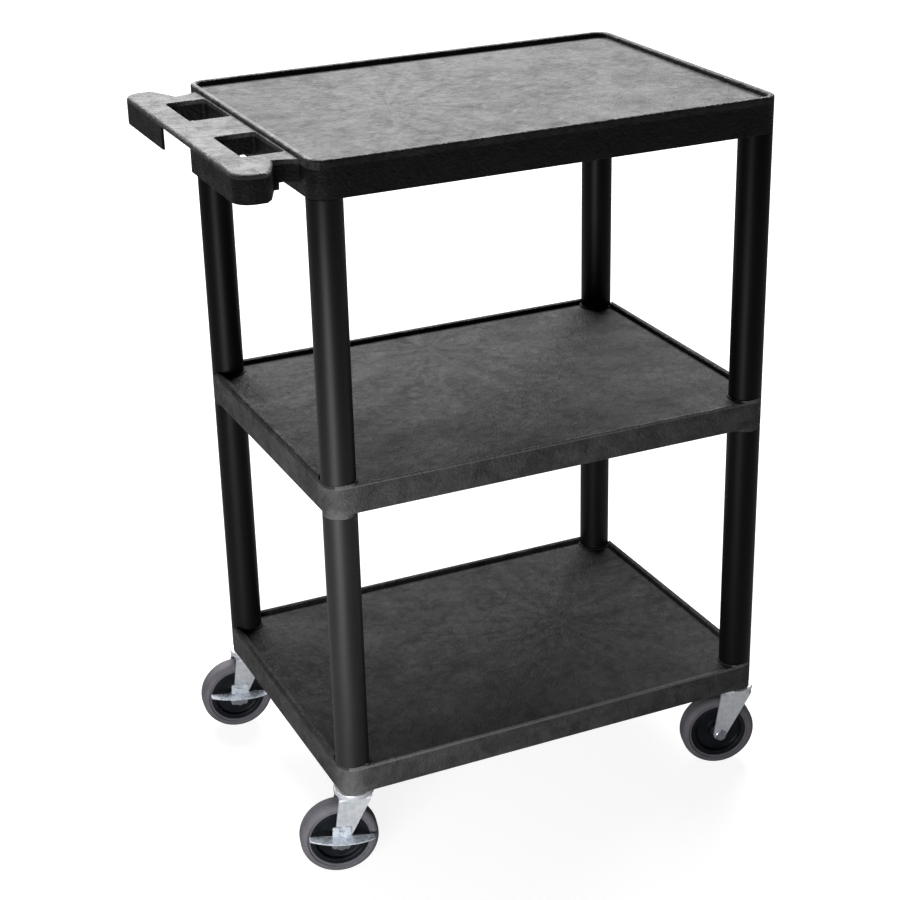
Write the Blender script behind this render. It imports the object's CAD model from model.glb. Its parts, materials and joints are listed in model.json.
"""Rolling utility cart: moulded shelves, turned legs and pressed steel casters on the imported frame."""
import json
import math

import bmesh
import bpy
from mathutils import Euler, Matrix, Vector


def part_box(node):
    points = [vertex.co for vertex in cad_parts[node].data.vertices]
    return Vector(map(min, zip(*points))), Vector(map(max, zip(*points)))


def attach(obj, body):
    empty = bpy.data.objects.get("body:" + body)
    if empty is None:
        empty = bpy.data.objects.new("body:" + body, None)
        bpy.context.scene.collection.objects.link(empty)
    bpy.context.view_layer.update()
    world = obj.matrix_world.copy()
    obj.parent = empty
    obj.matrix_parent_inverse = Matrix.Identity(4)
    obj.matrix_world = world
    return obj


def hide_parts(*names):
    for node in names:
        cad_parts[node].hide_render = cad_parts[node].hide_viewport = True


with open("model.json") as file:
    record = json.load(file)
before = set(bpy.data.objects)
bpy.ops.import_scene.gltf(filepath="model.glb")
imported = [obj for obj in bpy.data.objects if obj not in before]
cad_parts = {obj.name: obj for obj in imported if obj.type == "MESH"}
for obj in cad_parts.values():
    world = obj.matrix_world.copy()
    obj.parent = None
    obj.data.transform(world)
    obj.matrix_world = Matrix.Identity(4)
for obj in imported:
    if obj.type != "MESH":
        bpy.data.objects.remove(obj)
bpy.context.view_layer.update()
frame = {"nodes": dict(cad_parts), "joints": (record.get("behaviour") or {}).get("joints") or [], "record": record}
JOINTS = {joint["name"]: joint for joint in frame["joints"]}


# ---- Sizes, in millimetres ----

MM = 0.001
OVER = 1.0  # how far a cutting tool runs past what it cuts
TOUCH = 0.01  # places closer together than this count as one
FACET = 0.1  # how far the points of a round edge may lie from its radius
WELD = 0.002  # points closer together than this are merged at the end
FOLD = 0.4  # an edge counts as sharp where its faces turn by more than this, in radians
SMOOTH_BELOW = 32.0  # edges that turn by less than this, in degrees, are shaded smooth


def in_mm(node):
    """Lowest and highest corners of a CAD node, in millimetres."""
    return [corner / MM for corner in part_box(node)]


SHELF_LOW, SHELF_HIGH = in_mm("bottom_shelf")
LEG_LOW, LEG_HIGH = in_mm("upper_leg_front_left")
SHELF_X = (SHELF_LOW.x + SHELF_HIGH.x) / 2
END_X = SHELF_LOW.x
LENGTH = SHELF_HIGH.x - SHELF_LOW.x
DEPTH = SHELF_HIGH.y - SHELF_LOW.y
LEG_R = (LEG_HIGH.x - LEG_LOW.x) / 2
LEGS = [
    (SHELF_X + side_x * (LENGTH / 2 - LEG_R), side_y * (DEPTH / 2 - LEG_R))
    for side_x in (-1, 1) for side_y in (-1, 1)
]

# Shelves
TOP_BAND, LOWER_BAND = 46.0, 43.5  # outer height of the skirt with its lip
TOP_LIP, LOWER_LIP = 7.0, 6.4  # height of the lip above the deck
LIP_WIDTH = 8.0
RIM_R, HEM_R, DECK_EDGE_R = 2.8, 0.8, 1.6
SKIRT, DECK, RIB = 5.5, 6.0, 4.0  # thickness of each wall
RIB_DEPTH = 18.0
CROSS_CELLS, LONG_CELLS = 6, 4  # cells between the ribs, along and across the shelf
PAD_R, PAD_RISE = 23.5, 2.0  # round pads that the legs stand on, above the deck
COLLAR_R, COLLAR = LEG_R - 0.2, 5.0  # collars that the legs meet from below
PAD_TOP = LOWER_BAND - LOWER_LIP + PAD_RISE
BOTTOM_Z = SHELF_LOW.z
MIDDLE_Z = in_mm("middle_shelf")[0].z + COLLAR
TOP_Z = in_mm("top_shelf")[0].z
DECK_BOTTOM, DECK_MIDDLE = (base + LOWER_BAND - LOWER_LIP for base in (BOTTOM_Z, MIDDLE_Z))
DECK_TOP = TOP_Z + TOP_BAND - TOP_LIP

# Legs
SPIGOT_R, SPIGOT_BORE, SPIGOT = 16.0, 12.0, 17.0  # thin end of a leg
SOCKET_R, SOCKET = 16.1, 17.5  # what it is pushed into
LEG_BORE = LEG_R - 4.0
LEG_END = 8.0  # how far the narrow bore runs on inside each shoulder
LEG_EDGE_R = 0.7
POST_R = 10.8  # post in each bottom socket, round the stem's bore
STEM_BORE, STEM_ROOM = 7.02, 36.0
FLANGE_R, FLANGE = 9.52, 1.2

# Handle, with U out from the shelf's end and V along Y
REACH = END_X - in_mm("top_shelf")[0].x
HALF = 219.0
HANDLE_LINE = [(0, 184), (15, 176), (28, 176), (43, 210), (51, HALF), (REACH, HALF)]
HANDLE_DROP, HANDLE_HEIGHT = 5.5, 34.5  # top of the handle below the rim, and its height
HANDLE_PLATE, HANDLE_WALL = 6.0, 3.5
NECK_HEIGHT, NECK_END = 26.0, 22.0  # the shallower part beside the shelf
HANDLE_CORNER, HANDLE_EDGE, HANDLE_HEM_R = 22.0, 4.5, 1.0
OPENING_U, OPENING_V, OPENING_R = (2, 53), (43, 143), 4.0
NOTCH = 57.0  # half the width where the bar has no outer wall
INNER_WALL = 19.0  # height of the walls between the openings and the bar

# Casters, with the swivel axis at the origin on the floor and +X towards the wheel
WHEEL_R, TRAIL = 50.8, 22.0
AXLE_Z = WHEEL_R
PLATE = 2.8  # thickness of the pressed steel
CROWN_Z, CROWN_R = 112.4, 24.0
CROWN_TOP = CROWN_Z + PLATE
CAP_Z, CAP, CAP_R, CAP_WALL, CAP_RIM = 118.0, 3.0, 26.2, 1.4, 2.5
CAP_EDGE_R, CAP_HEM_R = 1.2, 0.4
STEM_R = 5.55
FORK_TOP, FORK_TIP = 43.0, 8.5  # width under the crown, and radius round the axle
FORK_IN, FORK_BEND = 17.3, 5.0
FORK_OUT = FORK_IN + PLATE
SEAT = 0.02  # play of what is bolted or pushed together
BORE_PLAY = 0.05
AXLE_R, BOLT_TIP_R = 4.0, 3.2
THREAD, THREAD_DEPTH, THREAD_RINGS = 1.25, 0.45, 3
THREAD_FLANK, THREAD_CREST, THREAD_END = 0.3, 0.4, 1.5
HEX_R = 13.0 / math.sqrt(3)
HEX_TURNED_R = HEX_R - 1.2
HEAD, NUT, NUT_COLLAR = 5.3, 7.5, 2.0
NUT_COLLAR_R, NUT_END_R, NUT_MOUTH_R, NUT_EDGE = 5.5, 5.2, 4.6, 0.5
HUB_BORE, HUB_R, HUB = 6.4, 13.0, 33.0
WEB, RIM_BORE, RIM_OUT, RIM = 7.0, 32.3, 38.3, 22.0
CORE_EDGE_R = 1.0
TYRE_BORE, TYRE, SHOULDER = 38.5, 28.0, 8.0
# Bead of the tyre, as points of (radius, depth below the tyre's side)
BEAD = [(TYRE_BORE, 2.6), (39.3, 1.5), (40.9, 1.5), (41.4, 2.1), (42.0, 0.6)]
LEVER_Y, LEVER = FORK_OUT + 1.4, 2.0
LEVER_TILT = 5.0
# The lever's web turns on the axle and carries the bowed pedal
WEB_HALF, WEB_RISE, WEB_DROP, WEB_NOTCH = 12.0, 24.0, 8.0, 7.0
WEB_FOOT_R, WEB_TOP_R = 4.0, 1.5
PEDAL, PEDAL_DEPTH, PEDAL_END, PEDAL_RISE, PEDAL_R = 84.0, 20.0, 9.0, 9.0, 3.0


# ---- Modelling steps ----


def only(obj):
    """Makes this object the one that the next steps work on."""
    bpy.ops.object.select_all(action="DESELECT")
    obj.select_set(True)
    bpy.context.view_layer.objects.active = obj


def settle(obj, matrix=None):
    """Moves an object by a matrix, and keeps its place in its mesh."""
    only(obj)
    if matrix is not None:
        obj.matrix_world = matrix @ obj.matrix_world
    bpy.ops.object.transform_apply(location=True, rotation=True, scale=True)
    return obj


def added(name):
    """Names the primitive that was just added."""
    obj = bpy.context.object
    obj.name = obj.data.name = name
    return settle(obj)


def block(name, low, high):
    """Box between two corners."""
    bpy.ops.object.select_all(action="DESELECT")
    middle = [(a + b) / 2 * MM for a, b in zip(low, high)]
    size = [(b - a) * MM for a, b in zip(low, high)]
    bpy.ops.mesh.primitive_cube_add(size=1, location=middle, scale=size)
    return added(name)


def rod(name, radius, low, high, at=(0, 0), sides=96):
    """Upright cylinder between two heights."""
    bpy.ops.object.select_all(action="DESELECT")
    bpy.ops.mesh.primitive_cylinder_add(
        vertices=sides, radius=radius * MM, depth=(high - low) * MM,
        location=(at[0] * MM, at[1] * MM, (low + high) / 2 * MM),
    )
    return added(name)


def rods(name, radius, low, high, places):
    return joined([rod(name, radius, low, high, place) for place in places])


def joined(objs):
    only(objs[0])
    for obj in objs[1:]:
        obj.select_set(True)
    bpy.ops.object.join()
    return objs[0]


def edit_all(obj):
    """Goes into edit mode with everything selected."""
    only(obj)
    bpy.ops.object.mode_set(mode="EDIT")
    bpy.ops.mesh.select_mode(type="VERT")
    bpy.ops.mesh.select_all(action="SELECT")


def pick(obj, kind, test):
    """Goes into edit mode with the points or edges selected that pass the test on their places."""
    only(obj)
    bpy.ops.object.mode_set(mode="EDIT")
    bpy.ops.mesh.select_mode(type=kind)
    bpy.ops.mesh.select_all(action="DESELECT")
    mesh = bmesh.from_edit_mesh(obj.data)
    found = 0
    for part in mesh.verts if kind == "VERT" else mesh.edges:
        if kind == "VERT":
            chosen = test(part.co / MM)
        else:
            ends = (point.co / MM for point in part.verts)
            chosen = part.calc_face_angle(0) > FOLD and test(*ends)
        if chosen:
            part.select_set(True)
            found += 1
    bmesh.update_edit_mesh(obj.data)
    if not found:
        raise ValueError(f"{obj.name}: nothing passes the test")


def done():
    """Leaves edit mode."""
    bpy.ops.object.mode_set(mode="OBJECT")


def soften(obj, radius, segments, test):
    """Rounds the sharp edges whose two ends pass the test."""
    pick(obj, "EDGE", test)
    bpy.ops.mesh.bevel(
        offset=radius * MM, segments=segments, profile=0.5, affect="EDGES", clamp_overlap=False
    )
    done()
    return obj


def near(a, b):
    return abs(a - b) < TOUCH


def upright(a, b):
    """Test for edges that run along Z."""
    return (a.xy - b.xy).length < TOUCH


def level_at(z):
    """Test for edges at one height."""
    return lambda a, b: near(a.z, z) and near(b.z, z)


def crosswise_at(z):
    """Test for edges at one height that run along Y."""
    return lambda a, b: level_at(z)(a, b) and near(a.x, b.x)


def carve(obj, tool, operation="DIFFERENCE"):
    """Cuts the tool out of an object, joins it on, or keeps what both hold. The tool is used up."""
    only(obj)
    bpy.ops.object.modifier_add(type="BOOLEAN")
    step = obj.modifiers[-1]
    step.operation = operation
    step.solver = "EXACT"
    step.object = tool
    bpy.ops.object.modifier_apply(modifier=step.name)
    only(tool)
    bpy.ops.object.delete()
    return obj


def rounded_block(name, low, high, radius, segments=14):
    """Block with its four upright edges rounded."""
    return soften(block(name, low, high), radius, segments, upright)


def turned(name, outline, ring=True, sides=96):
    """Turns an outline of (radius, height) points round Z. A ring's outline closes on itself."""
    radius, height = outline[0]
    bpy.ops.object.select_all(action="DESELECT")
    bpy.ops.mesh.primitive_circle_add(
        vertices=sides, radius=radius * MM, location=(0, 0, height * MM),
        fill_type="NOTHING" if ring else "NGON",
    )
    obj = added(name)
    bpy.ops.object.mode_set(mode="EDIT")
    bpy.ops.mesh.select_mode(type="EDGE" if ring else "FACE")
    bpy.ops.mesh.select_all(action="SELECT")
    for next_radius, next_height in outline[1:]:
        lift = (0, 0, (next_height - height) * MM)
        bpy.ops.mesh.extrude_region_move(TRANSFORM_OT_translate={"value": lift})
        scale = next_radius / radius
        bpy.ops.transform.resize(value=(scale, scale, 1), center_override=(0, 0, next_height * MM))
        radius, height = next_radius, next_height
    if ring:
        bpy.ops.mesh.select_all(action="DESELECT")
        bpy.ops.mesh.select_non_manifold()
        bpy.ops.mesh.bridge_edge_loops()
    outward()
    done()
    return obj


def outward():
    """Turns the normals of the mesh that is being edited to its outside."""
    bpy.ops.mesh.select_all(action="SELECT")
    bpy.ops.mesh.normals_make_consistent(inside=False)


def arc(centre, radius, start, end, steps):
    """Points on an arc, with the angles in degrees."""
    angles = [math.radians(start + (end - start) * i / steps) for i in range(steps + 1)]
    return [(centre[0] + radius * math.cos(a), centre[1] + radius * math.sin(a)) for a in angles]


def dress(obj, slot, body, *nodes):
    """Cleans up a finished mesh, gives it its finish, and joins it to the frame."""
    edit_all(obj)
    bpy.ops.mesh.remove_doubles(threshold=WELD * MM)
    outward()
    done()
    bpy.ops.object.shade_smooth_by_angle(angle=math.radians(SMOOTH_BELOW))
    bpy.ops.object.modifier_add(type="WEIGHTED_NORMAL")
    obj.modifiers[-1].keep_sharp = True
    bpy.ops.object.modifier_apply(modifier=obj.modifiers[-1].name)
    obj.data.materials.clear()
    obj.data.materials.append(finish_of(nodes[0]))
    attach(obj, body)
    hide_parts(*nodes)
    return obj


# ---- Shelves ----


def outline_block(name, low, high, inset=0.0):
    """A shelf's whole outline between two heights, drawn in by an inset."""
    x, y = LENGTH / 2 - inset, DEPTH / 2 - inset
    return rounded_block(name, (SHELF_X - x, -y, low), (SHELF_X + x, y, high), LEG_R - inset)


def shelf_blank(name, base, band, lip, open_front):
    """Outside of a shelf, with the deck sunk inside its lip and the upper edges rounded."""
    rim, deck = base + band, base + band - lip
    front = -DEPTH / 2
    body = outline_block(name, base, rim)
    carve(body, outline_block("pocket", deck, rim + OVER, LIP_WIDTH))
    if open_front:
        low = (SHELF_X - LENGTH / 2 - OVER, front - OVER, deck)
        high = (SHELF_X + LENGTH / 2 + OVER, front + LEG_R, rim + OVER)
        carve(body, block("front_opening", low, high))
    soften(body, RIM_R, 4, level_at(rim))
    if open_front:
        soften(body, RIM_R, 4, lambda a, b: (
            level_at(deck)(a, b) and max(a.y, b.y) < front + LEG_R - OVER
            and min(abs(a.x - SHELF_X), abs(b.x - SHELF_X)) < LENGTH / 2 - TOUCH
        ))
    soften(body, HEM_R, 2, level_at(base))
    return body


def hollow_underside(body, base, deck, boss_r):
    """Opens a shelf from below, and leaves the ribs under its deck and a boss at each corner."""
    under = deck - DECK
    low, high = under - RIB_DEPTH, under + OVER
    hollow = outline_block("hollow", base - OVER, under, SKIRT)
    across = [SHELF_X + LENGTH * (i / CROSS_CELLS - 0.5) for i in range(1, CROSS_CELLS)]
    along = [DEPTH * (i / LONG_CELLS - 0.5) for i in range(1, LONG_CELLS)]
    carve(hollow, joined([
        block("cross_rib", (x - RIB / 2, -DEPTH / 2, low), (x + RIB / 2, DEPTH / 2, high))
        for x in across
    ]))
    carve(hollow, joined([
        block("long_rib", (SHELF_LOW.x, y - RIB / 2, low), (SHELF_HIGH.x, y + RIB / 2, high))
        for y in along
    ]))
    carve(hollow, rods("bosses", boss_r, base - 2 * OVER, high, LEGS))
    carve(body, hollow)


def moulded_top_shelf():
    """Top shelf with the handle in one piece."""
    body = shelf_blank("moulded_top_shelf", TOP_Z, TOP_BAND, TOP_LIP, False)
    soften(body, DECK_EDGE_R, 3, level_at(DECK_TOP))
    hollow_underside(body, TOP_Z, DECK_TOP, COLLAR_R)
    carve(body, rods("sockets", SOCKET_R, TOP_Z - OVER, TOP_Z + SOCKET, LEGS))
    carve(body, handle(), "UNION")
    return body


def moulded_lower_shelf(name, base, sockets_below):
    """Lower shelf, its lip cut away round the pads that carry the legs."""
    body = shelf_blank(name, base, LOWER_BAND, LOWER_LIP, True)
    deck, pad = base + LOWER_BAND - LOWER_LIP, base + PAD_TOP
    pads = rods("pads", PAD_R, base + SKIRT, pad, LEGS)
    carve(pads, outline_block("outline", base, pad + OVER), "INTERSECT")
    carve(body, pads, "UNION")
    carve(body, rods("leg_room", PAD_R, pad, base + LOWER_BAND + OVER, LEGS))
    hollow_underside(body, base, deck, PAD_R)
    if sockets_below:
        low = base - COLLAR
        carve(body, rods("collars", COLLAR_R, low, base + OVER, LEGS), "UNION")
        carve(body, rods("lower_sockets", SOCKET_R, low - OVER, low + SOCKET, LEGS))
        carve(body, rods("sockets", SOCKET_R, pad - SOCKET, pad + OVER, LEGS))
    else:
        sockets = rods("sockets", SOCKET_R, pad - SOCKET, pad + OVER, LEGS)
        carve(sockets, rods("posts", POST_R, base, pad + 2 * OVER, LEGS))
        carve(body, sockets)
        carve(body, rods("stem_bores", STEM_BORE, base - OVER, base + STEM_ROOM, LEGS))
        carve(body, rods("flange_seats", FLANGE_R, base - OVER, base + FLANGE, LEGS))
    return body


# ---- Handle ----


def inward(start, end):
    """Normal to the inside of an outline that runs with its inside on the right."""
    run = Vector(end) - Vector(start)
    return Vector((run.y, -run.x)) / run.length


def drawn_in(before, corner, after, inset):
    """Corner of an outline after the edges on both sides of it are drawn in."""
    first, second = inward(before, corner), inward(corner, after)
    return Vector(corner) + (first + second) * (inset / (1 + first.dot(second)))


def handle_blank(name, inset, start, low, high):
    """The handle's outline, drawn in by an inset, from a start near the shelf out to the bar."""
    line, outer = HANDLE_LINE, END_X - REACH + inset
    body = block(name, (outer, inset - HALF, low), (END_X - start, HALF - inset, high))
    stations = [drawn_in(line[i - 1], line[i], line[i + 1], inset) for i in range(1, len(line) - 1)]
    for u, v in stations:
        edit_all(body)
        bpy.ops.mesh.bisect(plane_co=((END_X - u) * MM, 0, 0), plane_no=(1, 0, 0))
        done()
    # The rows across the neck are pulled in to its width
    for u, v in [(start, line[0][1] - inset)] + [tuple(station) for station in stations[:-1]]:
        pick(body, "VERT", lambda p: near(END_X - p.x, u))
        bpy.ops.transform.resize(value=(1, v / (HALF - inset), 1), center_override=(0, 0, 0))
        done()
    # Edges that lie within a flat face would spoil the rounding
    edit_all(body)
    bpy.ops.mesh.dissolve_limited(angle_limit=math.radians(1))
    done()
    corner_r = HANDLE_CORNER - inset
    return soften(body, corner_r, 12, lambda a, b: upright(a, b) and near(a.x, outer))


def finger_openings(name, grown, low, high):
    """Both finger openings, made larger all round."""
    (first, last), (inner, end) = OPENING_U, OPENING_V
    made = []
    for side in (-1, 1):
        v = sorted((side * (inner - grown), side * (end + grown)))
        corners = (END_X - last - grown, v[0], low), (END_X - first + grown, v[1], high)
        made.append(rounded_block(name, *corners, OPENING_R + grown, 6))
    return joined(made)


def handle():
    """Push handle: a bar on three arms, hollow from below, with walls round its finger openings."""
    top = TOP_Z + TOP_BAND - HANDLE_DROP
    low, under = top - HANDLE_HEIGHT, top - HANDLE_PLATE
    body = handle_blank("handle", 0.0, -OVER, low, top)
    neck = (END_X - NECK_END, -HALF, low - OVER), (END_X + 2 * OVER, HALF, top - NECK_HEIGHT)
    carve(body, block("neck_rise", *neck))
    soften(body, HANDLE_EDGE, 5, lambda a, b: level_at(top)(a, b) and max(a.x, b.x) < END_X)
    soften(body, HANDLE_HEM_R, 2, lambda a, b: level_at(low)(a, b) and max(a.x, b.x) < END_X)
    hollow = handle_blank("hollow", HANDLE_WALL, OVER, low - OVER, under)
    carve(hollow, finger_openings("walls", HANDLE_WALL, low - 2 * OVER, top))
    carve(body, hollow)
    carve(body, finger_openings("openings", 0.0, low - OVER, top + OVER))
    (first, last), (inner, end) = OPENING_U, OPENING_V
    soften(body, DECK_EDGE_R, 3, lambda a, b: level_at(top)(a, b) and all(
        first - 1 < END_X - p.x < last + 1 and inner - 1 < abs(p.y) < end + 1 for p in (a, b)
    ))
    wall = END_X - last - HANDLE_WALL - OVER
    carve(body, block("notch", (END_X - REACH - OVER, -NOTCH, low - OVER), (wall, NOTCH, under)))
    short = (wall, -end, low - OVER), (END_X - last + OVER, end, top - INNER_WALL)
    return carve(body, block("short_walls", *short))


# ---- Legs ----


def turned_leg(name, low, high):
    """Tube with a stepped end at each end, between its two shoulders."""
    body = turned(name, [
        (SPIGOT_BORE, low - SPIGOT), (SPIGOT_R, low - SPIGOT), (SPIGOT_R, low),
        (LEG_R, low), (LEG_R, high), (SPIGOT_R, high), (SPIGOT_R, high + SPIGOT),
        (SPIGOT_BORE, high + SPIGOT), (SPIGOT_BORE, high - LEG_END), (LEG_BORE, high - LEG_END),
        (LEG_BORE, low + LEG_END), (SPIGOT_BORE, low + LEG_END),
    ])
    return soften(body, LEG_EDGE_R, 3, lambda a, b: all(
        abs(p.xy.length - LEG_R) < FACET and (near(p.z, low) or near(p.z, high)) for p in (a, b)
    ))


# ---- Casters ----

DOWN_ON_Y = Matrix.Rotation(math.radians(-90), 4, "X")
LYING = Matrix.Translation((TRAIL * MM, 0, AXLE_Z * MM)) @ DOWN_ON_Y


def foot(start, side):
    """Where a side of the fork, drawn from its top to touch the round end, meets the end's level."""
    to_axle = Vector((TRAIL, AXLE_Z)) - Vector(start)
    heading = math.atan2(to_axle.y, to_axle.x) + side * math.asin(FORK_TIP / to_axle.length)
    return start[0] + (AXLE_Z - FORK_TIP - start[1]) / math.tan(heading)


def pressed_fork(name):
    """Two tapering sides with rounded ends, bent down from a round crown."""
    low, half = AXLE_Z - FORK_TIP, FORK_TOP / 2
    body = block(name, (-half, -FORK_OUT, low), (half, FORK_OUT, CROWN_TOP))
    ends = {side: foot((side * half, CROWN_TOP), side) for side in (-1, 1)}
    for side, end in ends.items():
        pick(body, "VERT", lambda p: near(p.x, side * half) and p.z < low + 1)
        bpy.ops.transform.translate(value=((end - side * half) * MM, 0, 0))
        done()
    for end in ends.values():
        round_end = abs(end - TRAIL) - TOUCH
        soften(body, round_end, 10, lambda a, b: crosswise_at(low)(a, b) and near(a.x, end))
    soften(body, FORK_BEND, 6, lambda a, b: level_at(CROWN_TOP)(a, b) and near(a.y, b.y))
    channel = block("channel", (-WHEEL_R, -FORK_IN, 0), (2 * WHEEL_R, FORK_IN, CROWN_Z))
    inner_bend = FORK_BEND - PLATE
    soften(channel, inner_bend, 5, lambda a, b: level_at(CROWN_Z)(a, b) and near(a.y, b.y))
    carve(body, channel)
    carve(body, rod("crown", CROWN_R, CROWN_Z, CROWN_TOP), "UNION")
    stem_hole = rod("stem_hole", STEM_R + BORE_PLAY, CROWN_Z - OVER, CROWN_TOP + OVER, sides=48)
    carve(body, stem_hole)
    axle_hole = rod("axle_hole", AXLE_R + SEAT, -2 * FORK_OUT, 2 * FORK_OUT, sides=48)
    return carve(body, settle(axle_hole, LYING))


def swivel_cap(name):
    """Round plate with a rim turned down over the balls."""
    top, under, low = CAP_Z + CAP, CAP_Z, CAP_Z - CAP_RIM
    body = turned(name, [
        (STEM_R + SEAT, top), (CAP_R, top), (CAP_R, low), (CAP_R - CAP_WALL, low),
        (CAP_R - CAP_WALL, under), (STEM_R + SEAT, under),
    ])
    soften(body, CAP_EDGE_R, 4, lambda a, b: level_at(top)(a, b) and a.xy.length > CAP_R - FACET)
    return soften(body, CAP_HEM_R, 2, level_at(low))


def hexagon(name, seat, end):
    """Bolt head or nut from its seat to its end, with the end's corners turned off."""
    way = 1 if end > seat else -1
    body = rod(name, HEX_R, min(seat, end), max(seat, end), sides=6)
    wide = HEX_R + 0.3
    outline = [(wide, seat - way * OVER), (wide, end - way), (HEX_TURNED_R, end + way * 0.05)]
    return carve(body, turned("turned_off", outline, False, 48), "INTERSECT")


def axle_bolt(name, head_y):
    """Bolt along the axle, its thread cut as rings."""
    end = -FORK_OUT - SEAT - NUT - NUT_COLLAR - THREAD_END
    outline = [(BOLT_TIP_R, end)]
    for i in range(THREAD_RINGS):
        root = end + THREAD_CREST + i * THREAD
        crest = root + THREAD_FLANK
        outline += [(AXLE_R - THREAD_DEPTH, root), (AXLE_R, crest), (AXLE_R, crest + THREAD_CREST)]
    shaft = turned(name, outline + [(AXLE_R, head_y + OVER)], False, 48)
    return settle(carve(shaft, hexagon("head", head_y, head_y + HEAD), "UNION"), LYING)


def axle_nut(name):
    """Lock nut with a round collar at its outer end."""
    high = -FORK_OUT - SEAT
    low, end = high - NUT, high - NUT - NUT_COLLAR
    body = hexagon(name, high, low)
    collar = turned("collar", [
        (NUT_MOUTH_R, end), (NUT_END_R, end), (NUT_COLLAR_R, end + NUT_EDGE), (NUT_COLLAR_R, low + OVER),
    ], False, 48)
    carve(body, collar, "UNION")
    carve(body, rod("bore", AXLE_R + SEAT, end - OVER, high + OVER, sides=48))
    return settle(body, LYING)


def wheel_core(name):
    """Hub, web and rim."""
    half, web, rim = HUB / 2, WEB / 2, RIM / 2
    side = [
        (HUB_BORE, -half), (HUB_R, -half), (HUB_R, -web),
        (RIM_BORE, -web), (RIM_BORE, -rim), (RIM_OUT, -rim),
    ]
    body = turned(name, side + [(r, -y) for r, y in reversed(side)])
    soften(body, CORE_EDGE_R, 3, lambda a, b: near(a.z, b.z) and a.xy.length < RIM_OUT - 1)
    return settle(body, LYING)


def tyre(name):
    """Tyre with rounded shoulders and a bead round each side of the core."""
    half = TYRE / 2
    bead = [(r, depth - half) for r, depth in BEAD]
    side = bead + arc((WHEEL_R - SHOULDER, SHOULDER - half), SHOULDER, -90, 0, 9)
    return settle(turned(name, side + [(r, -y) for r, y in reversed(side)], sides=128), LYING)


def brake_lever(name):
    """Foot plate, bowed along its outer edge, and the web that hangs it on the axle."""
    sag = PEDAL_DEPTH - PEDAL_END
    bow = ((PEDAL / 2) ** 2 + sag ** 2) / (2 * sag)
    plate_low, plate_high = PEDAL_RISE, PEDAL_RISE + LEVER
    pedal = block("pedal", (-PEDAL / 2, 0, plate_low), (PEDAL / 2, PEDAL_DEPTH, plate_high))
    soften(pedal, PEDAL_R, 4, lambda a, b: upright(a, b) and a.y > 1)
    round_plate = rod("bow", bow, plate_low - OVER, plate_high + OVER, (0, PEDAL_DEPTH - bow), 256)
    carve(pedal, round_plate, "INTERSECT")
    web = block(name, (-WEB_HALF, 0, -WEB_DROP), (WEB_HALF, LEVER, WEB_RISE))
    soften(web, WEB_FOOT_R, 5, crosswise_at(-WEB_DROP))
    soften(web, WEB_TOP_R, 3, crosswise_at(WEB_RISE))
    low = (-WEB_NOTCH / 2, -OVER, WEB_RISE - WEB_NOTCH)
    high = (WEB_NOTCH / 2, LEVER + OVER, WEB_RISE + OVER)
    carve(web, block("notch", low, high))
    carve(web, pedal, "UNION")
    hole = rod("axle_hole", AXLE_R + BORE_PLAY, -OVER, LEVER + OVER, sides=48)
    carve(web, settle(hole, DOWN_ON_Y))
    place = Matrix.Translation((TRAIL * MM, LEVER_Y * MM, AXLE_Z * MM))
    return settle(web, place @ Matrix.Rotation(math.radians(-LEVER_TILT), 4, "Y"))


def copy_of(obj, name, matrix):
    """A copy with a mesh of its own, moved by a matrix."""
    only(obj)
    bpy.ops.object.duplicate()
    made = bpy.context.object
    made.name = made.data.name = name
    return settle(made, matrix)


def caster_place(corner):
    """Carries a caster from the origin to its corner, turned as its wheel stands."""
    x, y, z = JOINTS[f"swivel_turn_{corner}"]["pos_m"]
    along = Vector(JOINTS[f"wheel_roll_{corner}"]["axis"])
    ahead = along.cross(Vector((0, 0, 1)))
    turn = Matrix((ahead, along, Vector((0, 0, 1)))).transposed().to_4x4()
    return Matrix.Translation((x, y, 0)) @ turn


# ---- Finishes ----


class Varying:
    """A number that varies over a surface or with the kind of ray. Arithmetic on it adds Math nodes."""

    def __init__(self, nodes, socket):
        self.nodes = nodes
        self.socket = socket

    def _math(self, operation, first, second, clamp=False):
        settings = {"operation": operation, "use_clamp": clamp}
        return self.nodes.number("ShaderNodeMath", 0, settings, {0: first, 1: second})

    def __add__(self, other):
        return self._math("ADD", self, other)

    __radd__ = __add__

    def __mul__(self, other):
        return self._math("MULTIPLY", self, other)

    __rmul__ = __mul__

    def __sub__(self, other):
        return self._math("SUBTRACT", self, other)

    def __rsub__(self, other):
        return self._math("SUBTRACT", other, self)

    def __pow__(self, other):
        return self._math("POWER", self, other)

    def at_least(self, other):
        return self._math("MAXIMUM", self, other)

    def above(self, level, width):
        """0 below the level and 1 once it is passed by the width, with an even rise between."""
        return self._math("ADD", (self - level) * (1 / width), 0.0, clamp=True)


class Nodes:
    """The node tree of a material or of the surroundings."""

    def __init__(self, owner):
        owner.use_nodes = True
        self.tree = owner.node_tree

    def node(self, kind, settings=None, inputs=None):
        """Adds a node, with its settings first and then the values or links of its sockets."""
        made = self.tree.nodes.new(kind)
        for key, value in (settings or {}).items():
            if key == "stops":
                self._stops(made.color_ramp, value)
            else:
                setattr(made, key, value)
        for key, value in (inputs or {}).items():
            self.feed(made.inputs[key], value)
        return made

    def number(self, kind, output, settings=None, inputs=None):
        """Adds a node and takes one of its outputs as a number to reckon with."""
        return Varying(self, self.node(kind, settings, inputs).outputs[output])

    def feed(self, socket, value):
        if isinstance(value, Varying):
            value = value.socket
        if isinstance(value, bpy.types.NodeSocket):
            self.tree.links.new(value, socket)
        else:
            socket.default_value = value

    def _stops(self, ramp, stops):
        while len(ramp.elements) < len(stops):
            ramp.elements.new(0.5)
        for element, (position, colour) in zip(ramp.elements, stops):
            element.position = position
            element.color = (*colour, 1)


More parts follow.
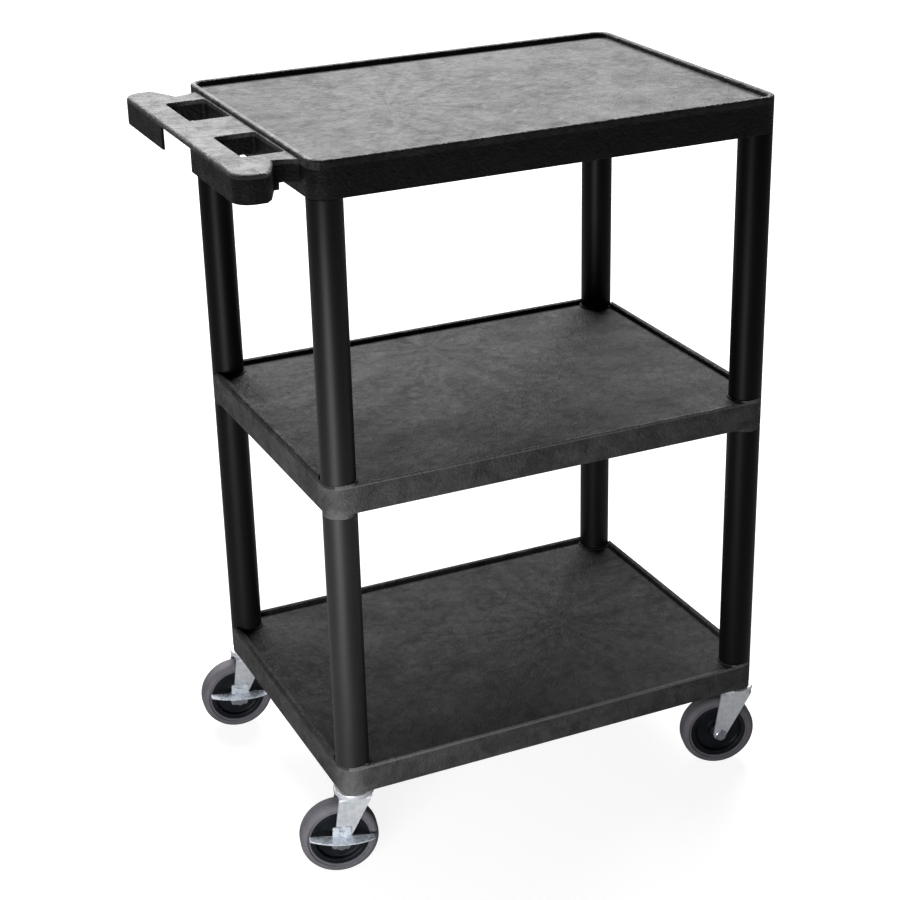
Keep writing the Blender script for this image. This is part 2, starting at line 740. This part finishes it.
class Finish(Nodes):
    """A material that is built up round its shader."""

    def __init__(self, name, **constants):
        self.material = bpy.data.materials.new(name)
        super().__init__(self.material)
        self.shader = self.tree.nodes["Principled BSDF"]
        self.paint(**constants)
        self.place = self.node("ShaderNodeTexCoord").outputs["Object"]

    def paint(self, **inputs):
        """Sets or drives sockets of the shader, such as Base_Color."""
        for socket, value in inputs.items():
            self.feed(self.shader.inputs[socket.replace("_", " ")], value)

    def stretched(self, scale):
        """The piece's own coordinates, stretched for a pattern."""
        return self.node("ShaderNodeMapping", None, {"Vector": self.place, "Scale": scale}).outputs[0]

    def noise(self, scale, detail=2.0, roughness=0.5, distortion=0.0, vector=None):
        inputs = {
            "Vector": vector or self.place, "Scale": scale, "Detail": detail,
            "Roughness": roughness, "Distortion": distortion,
        }
        return self.number("ShaderNodeTexNoise", "Fac", None, inputs)

    def cells(self, scale):
        inputs = {"Vector": self.place, "Scale": scale}
        return self.number("ShaderNodeTexVoronoi", "Distance", None, inputs)

    def axes(self):
        parts = self.node("ShaderNodeSeparateXYZ", None, {0: self.place})
        return [Varying(self, socket) for socket in parts.outputs]

    def tint(self, amount, *stops):
        """Colour that follows an amount, from stops of (amount, colour)."""
        return self.node("ShaderNodeValToRGB", {"stops": stops}, {0: amount}).outputs["Color"]

    def bump(self, *layers):
        """Stacks relief from layers of (height, depth in metres)."""
        normal = None
        for height, depth in layers:
            inputs = {"Height": height, "Distance": depth, "Strength": 1.0}
            if normal is not None:
                inputs["Normal"] = normal
            normal = self.node("ShaderNodeBump", None, inputs).outputs["Normal"]
        self.paint(Normal=normal)


def flow_streaks(finish, gate, x, y, z):
    """Broad streaks and thin rays that run out from the point where the plastic was let in."""
    dx, dy = x - gate[0], y - gate[1]
    angle = finish.number("ShaderNodeMath", 0, {"operation": "ARCTAN2"}, {0: dy, 1: dx})
    reach = (dx * dx + dy * dy) ** 0.5
    fan = finish.node("ShaderNodeCombineXYZ", None, {0: angle, 1: reach * 2.2, 2: z * 9.0}).outputs[0]
    broad = finish.noise(5.5, detail=4.0, roughness=0.62, distortion=0.25, vector=fan)
    fine = finish.noise(2.1, detail=1.0, distortion=0.12, vector=fan)
    # A ray lies wherever the fine noise passes its middle value
    ray = 1 - ((fine - 0.5) ** 2.0 * 320.0).above(0.0, 1.0)
    return broad, ray * (1 - reach.above(0.08, 0.32))


def shelf_plastic(name, deck, gate, gloss, deck_tone, skirt_tone, end_tone, rim_tone, ray_tone):
    """Foamed plastic of one shelf. Its tones say how light each of its parts is."""
    finish = Finish(name, Specular_IOR_Level=gloss)
    x, y, z = finish.axes()
    streaks, ray = flow_streaks(finish, gate, x, y, z)
    swirl = finish.noise(14.0, detail=5.0, roughness=0.65, distortion=1.8)
    mottle = finish.noise(75.0, detail=4.0, roughness=0.65, distortion=0.8)
    patches = finish.noise(30.0, detail=4.0, roughness=0.6, distortion=0.9)
    grain = finish.cells(300.0)
    pores = finish.noise(900.0, roughness=0.6)
    contrast = (streaks * 0.36 + swirl * 0.20 + mottle * 0.44).above(0.38, 0.22)

    # Where the parts lie: all that is level with the deck, the handle's end and the front rim
    level = z.above((deck - 3.0) * MM, 2.0 * MM)
    end = ((END_X + 12.0) * MM - x).above(0.0, 3.0 * MM) * z.above((deck - 4.5) * MM, 1.0 * MM)
    rim = ((4.0 - DEPTH / 2) * MM - y).above(0.0, 1.0 * MM) * z.above((deck - 3.2) * MM, 0.6 * MM)
    # The nearest corner is rubbed lighter, and the front half of the deck a little
    corner = (SHELF_X * MM - x).above((LENGTH / 2 - 42.0) * MM, 20.0 * MM)
    corner = corner * (0.0 - y).above((DEPTH / 2 - 42.0) * MM, 20.0 * MM)
    front_half = (0.0 - y).above(20.0 * MM, 200.0 * MM)

    skirt = (patches.above(0.36, 0.30) * 0.5 + contrast * 0.4 + 0.55) * (corner * 0.6 + 1.0) * skirt_tone
    light = (level * deck_tone + end * end_tone) * (contrast * 1.2 + 0.40) + (1 - level) * skirt
    light = light + (front_half * (rim_tone * 0.18) + ray * ray_tone) * level + rim * rim_tone
    shade = finish.node("ShaderNodeCombineColor", None, {0: light, 1: light, 2: light})
    finish.paint(Base_Color=shade.outputs[0], Roughness=0.66 - contrast * 0.20 + grain * 0.06)
    finish.bump((mottle, 0.0022), (grain, 0.0007), (pores, 0.00018))
    return finish.material


def leg_plastic(name, gloss, tone):
    """Smooth plastic, faintly drawn out along the leg."""
    finish = Finish(name, Specular_IOR_Level=gloss)
    drawn = finish.noise(26.0, detail=3.0, roughness=0.55, vector=finish.stretched((1, 1, 0.12)))
    pores = finish.noise(700.0)
    dark, light = ((0.5 * tone, 0.5 * tone, 0.52 * tone), (tone, tone, 1.03 * tone))
    finish.paint(
        Base_Color=finish.tint(drawn, (0.3, dark), (0.7, light)),
        Roughness=0.40 + drawn * 0.14,
    )
    finish.bump((drawn, 0.0003), (pores, 0.00004))
    return finish.material


def steel(name, light, dark, roughness, metallic=1.0, dull_above=None):
    """Plated or plain steel, which can turn whiter and duller above a height."""
    finish = Finish(name, Metallic=metallic)
    if dull_above is not None:
        x, y, z = finish.axes()
        finish.paint(Metallic=1.0 - z.above(dull_above * MM, 1.5 * MM) * 0.55)
    spangle = finish.cells(160.0)
    cloud = finish.noise(38.0, detail=4.0, roughness=0.6)
    rolled = finish.noise(300.0, detail=3.0, roughness=0.6, vector=finish.stretched((1, 1, 0.08)))
    tone = cloud * 0.55 + spangle * 0.30 + rolled * 0.15
    finish.paint(
        Base_Color=finish.tint(tone, (0.30, dark), (0.66, light)),
        Roughness=roughness + (tone - 0.5) * 0.25,
    )
    finish.bump((cloud, 0.0003), (rolled, 0.00008))
    return finish.material


def wheel_plastic():
    finish = Finish("wheel_black_plastic", Specular_IOR_Level=0.35)
    cloud = finish.noise(55.0, detail=3.0, roughness=0.55)
    pores = finish.noise(1100.0)
    finish.paint(
        Base_Color=finish.tint(cloud, (0.35, (0.002, 0.003, 0.005)), (0.68, (0.006, 0.008, 0.012))),
        Roughness=0.33 + cloud * 0.16,
    )
    finish.bump((cloud, 0.0003), (pores, 0.00006))
    return finish.material


def tyre_rubber():
    finish = Finish("grey_tyre_rubber", Specular_IOR_Level=0.35)
    cloud = finish.noise(60.0, detail=4.0, roughness=0.6)
    dust = finish.noise(420.0, detail=3.0, roughness=0.65)
    tone = cloud * 0.6 + dust * 0.4
    finish.paint(
        Base_Color=finish.tint(tone, (0.32, (0.098, 0.094, 0.108)), (0.68, (0.150, 0.145, 0.163))),
        Roughness=0.56 + dust * 0.22,
    )
    finish.bump((cloud, 0.0004), (dust, 0.00012))
    return finish.material


# ---- Stage ----

# How bright the white surroundings are to glossy rays and to all other rays but the camera's
SKY_MIRRORED, SKY_FILL = 0.04, 0.05
# The floor's own light to the camera under the cart, which rises to full white away from it
FLOOR_GLOW, GLOW_RISES_AT, GLOW_RISES_OVER = 0.88, 0.9, 2.1
FLOOR_TONE = 0.32


def lamp(name, place, target, size, power, spread=180):
    """Rectangular soft light that faces its target and isn't seen itself."""
    data = bpy.data.lights.new(name, "AREA")
    data.shape = "RECTANGLE"
    data.size, data.size_y = size
    data.energy = power
    data.spread = math.radians(spread)
    made = bpy.data.objects.new(name, data)
    bpy.context.scene.collection.objects.link(made)
    made.location = place
    made.rotation_euler = (Vector(target) - Vector(place)).to_track_quat("-Z", "Y").to_euler()
    made.visible_camera = False


def pale_floor():
    """Floor that keeps the shadow and turns into the white of the surroundings away from the cart."""
    bpy.ops.object.select_all(action="DESELECT")
    bpy.ops.mesh.primitive_plane_add(size=40.0)
    floor = bpy.context.object
    floor.name = "studio_floor"
    material = bpy.data.materials.new("pale_floor")
    nodes = Nodes(material)
    nodes.tree.nodes.clear()
    place = nodes.node("ShaderNodeTexCoord").outputs["Object"]
    away = nodes.number("ShaderNodeVectorMath", "Value", {"operation": "LENGTH"}, {0: place})
    glow = away.above(GLOW_RISES_AT, GLOW_RISES_OVER) * (1 - FLOOR_GLOW) + FLOOR_GLOW
    to_camera = nodes.number("ShaderNodeLightPath", "Is Camera Ray")
    light = nodes.node("ShaderNodeEmission", None, {"Strength": glow * to_camera})
    paint = nodes.node("ShaderNodeBsdfDiffuse", None, {"Color": (FLOOR_TONE, FLOOR_TONE, FLOOR_TONE, 1)})
    both = nodes.node("ShaderNodeAddShader", None, {0: paint.outputs[0], 1: light.outputs[0]})
    nodes.node("ShaderNodeOutputMaterial", None, {"Surface": both.outputs[0]})
    floor.data.materials.append(material)


def white_surroundings():
    """World that is white to the camera, and only a weak light to the cart."""
    world = bpy.data.worlds.new("studio_surroundings")
    bpy.context.scene.world = world
    nodes = Nodes(world)
    ray = nodes.node("ShaderNodeLightPath").outputs
    mirrored = Varying(nodes, ray["Is Glossy Ray"]) * SKY_MIRRORED
    sky = nodes.tree.nodes["Background"].inputs
    nodes.feed(sky["Color"], (1, 1, 1, 1))
    nodes.feed(sky["Strength"], mirrored.at_least(ray["Is Camera Ray"]).at_least(SKY_FILL))


def camera():
    """Long lens at eye height, off the front left corner."""
    data = bpy.data.cameras.new("camera")
    data.sensor_width = 36.0
    data.lens = 78.858
    made = bpy.data.objects.new("camera", data)
    bpy.context.scene.collection.objects.link(made)
    place = Vector((-1.00344, -2.20456, 1.52338))
    turn = Euler([math.radians(angle) for angle in (66.302, 1.307, -24.852)])
    made.matrix_world = Matrix.LocRotScale(place, turn, None)
    bpy.context.scene.camera = made


camera()
pale_floor()
white_surroundings()
lamp("lamp_above", (0.9, 2.6, 3.6), (0, 0, 0.9), (4.0, 3.0), 420)
lamp("lamp_low", (-1.0, -1.1, 0.35), (-0.2, -0.1, 0.26), (0.6, 0.3), 3.4, spread=70)
bpy.context.scene.view_settings.view_transform = "Standard"


# ---- The cart ----

# A finish belongs to a kind of piece or to a slot. Gates lie in metres
FINISHES = {
    "top_shelf": shelf_plastic(
        "top_shelf_plastic", DECK_TOP, gate=(-0.086, -0.012), gloss=0.30,
        deck_tone=0.026, skirt_tone=0.009, end_tone=0.085, rim_tone=0.0, ray_tone=0.005,
    ),
    "middle_shelf": shelf_plastic(
        "middle_shelf_plastic", DECK_MIDDLE, gate=(0.028, 0.152), gloss=0.14,
        deck_tone=0.009, skirt_tone=0.055, end_tone=0.01, rim_tone=0.09, ray_tone=0.011,
    ),
    "bottom_shelf": shelf_plastic(
        "bottom_shelf_plastic", DECK_BOTTOM, gate=(0.158, 0.008), gloss=0.10,
        deck_tone=0.009, skirt_tone=0.048, end_tone=0.01, rim_tone=0.09, ray_tone=0.005,
    ),
    "leg_plastic": leg_plastic("smooth_black_plastic", gloss=0.14, tone=0.005),
    "upper_leg_front_left": leg_plastic("rubbed_black_plastic", gloss=0.30, tone=0.012),
    "lower_leg_front_left": leg_plastic("more_rubbed_black_plastic", gloss=0.40, tone=0.017),
    "wheel_plastic": wheel_plastic(),
    "tyre": tyre_rubber(),
    "zinc_plated": steel("bright_zinc", (0.82, 0.84, 0.87), (0.60, 0.63, 0.68), 0.40, metallic=0.6),
    "brake_lever": steel(
        "lever_zinc", (0.86, 0.91, 0.98), (0.60, 0.66, 0.75), 0.28, dull_above=AXLE_Z + 1,
    ),
    "fastener_steel": steel("fastener_zinc", (0.62, 0.64, 0.68), (0.42, 0.45, 0.50), 0.32),
    "inner_steel": steel("plain_steel", (0.52, 0.53, 0.55), (0.36, 0.37, 0.39), 0.40),
    "ball_steel": steel("polished_steel", (0.78, 0.79, 0.80), (0.66, 0.67, 0.69), 0.16),
}
SLOTS = {entry["node"]: entry["material_slot"] for entry in frame["record"]["subparts"]}


def finish_of(node):
    """The finish of a CAD node's slot, unless its kind has one of its own."""
    own = [kind for kind in FINISHES if node.startswith(kind)]
    return FINISHES[own[0] if own else SLOTS[node]]


for node, obj in frame["nodes"].items():
    obj.data.materials.clear()
    obj.data.materials.append(finish_of(node))

dress(moulded_top_shelf(), "shelf_plastic", "frame", "top_shelf")
for kind, base, sockets_below in (("middle_shelf", MIDDLE_Z, True), ("bottom_shelf", BOTTOM_Z, False)):
    shelf = moulded_lower_shelf(f"moulded_{kind}", base, sockets_below)
    dress(shelf, "shelf_plastic", "frame", kind)

CORNERS = ["front_left", "back_left", "front_right", "back_right"]
BRAKED = [corner for corner in CORNERS if f"brake_lever_{corner}" in frame["nodes"]]
PLAIN = [corner for corner in CORNERS if corner not in BRAKED]

# Each form is modelled once, then copied to its corners: node, form, body, corners
SETS = [
    ("fork", pressed_fork("pressed_fork"), "swivel", CORNERS),
    ("swivel_cap", swivel_cap("pressed_swivel_cap"), "frame", CORNERS),
    ("axle_bolt", axle_bolt("long_axle_bolt", LEVER_Y + LEVER + 0.05), "swivel", BRAKED),
    ("axle_bolt", axle_bolt("hex_axle_bolt", FORK_OUT + SEAT), "swivel", PLAIN),
    ("axle_nut", axle_nut("lock_nut"), "swivel", CORNERS),
    ("wheel_core", wheel_core("moulded_wheel_core"), "wheel", CORNERS),
    ("tyre", tyre("rounded_tyre"), "wheel", CORNERS),
    ("brake_lever", brake_lever("pressed_brake_lever"), "brake", BRAKED),
]
for node, form, body, corners in SETS:
    for corner in corners:
        piece = copy_of(form, f"{form.name}_{corner}", caster_place(corner))
        rides_on = body if body == "frame" else f"{body}_{corner}"
        dress(piece, SLOTS[f"{node}_{corner}"], rides_on, f"{node}_{corner}")
for kind in ("upper_leg", "lower_leg"):
    low, high = in_mm(f"{kind}_front_left")
    form = turned_leg(f"turned_{kind}", low.z + SPIGOT, high.z - SPIGOT)
    SETS.append((kind, form, "frame", CORNERS))
    for corner in CORNERS:
        place = Matrix.Translation(caster_place(corner).translation)
        dress(copy_of(form, f"{form.name}_{corner}", place), "leg_plastic", "frame", f"{kind}_{corner}")
for node, form, body, corners in SETS:
    only(form)
    bpy.ops.object.delete()
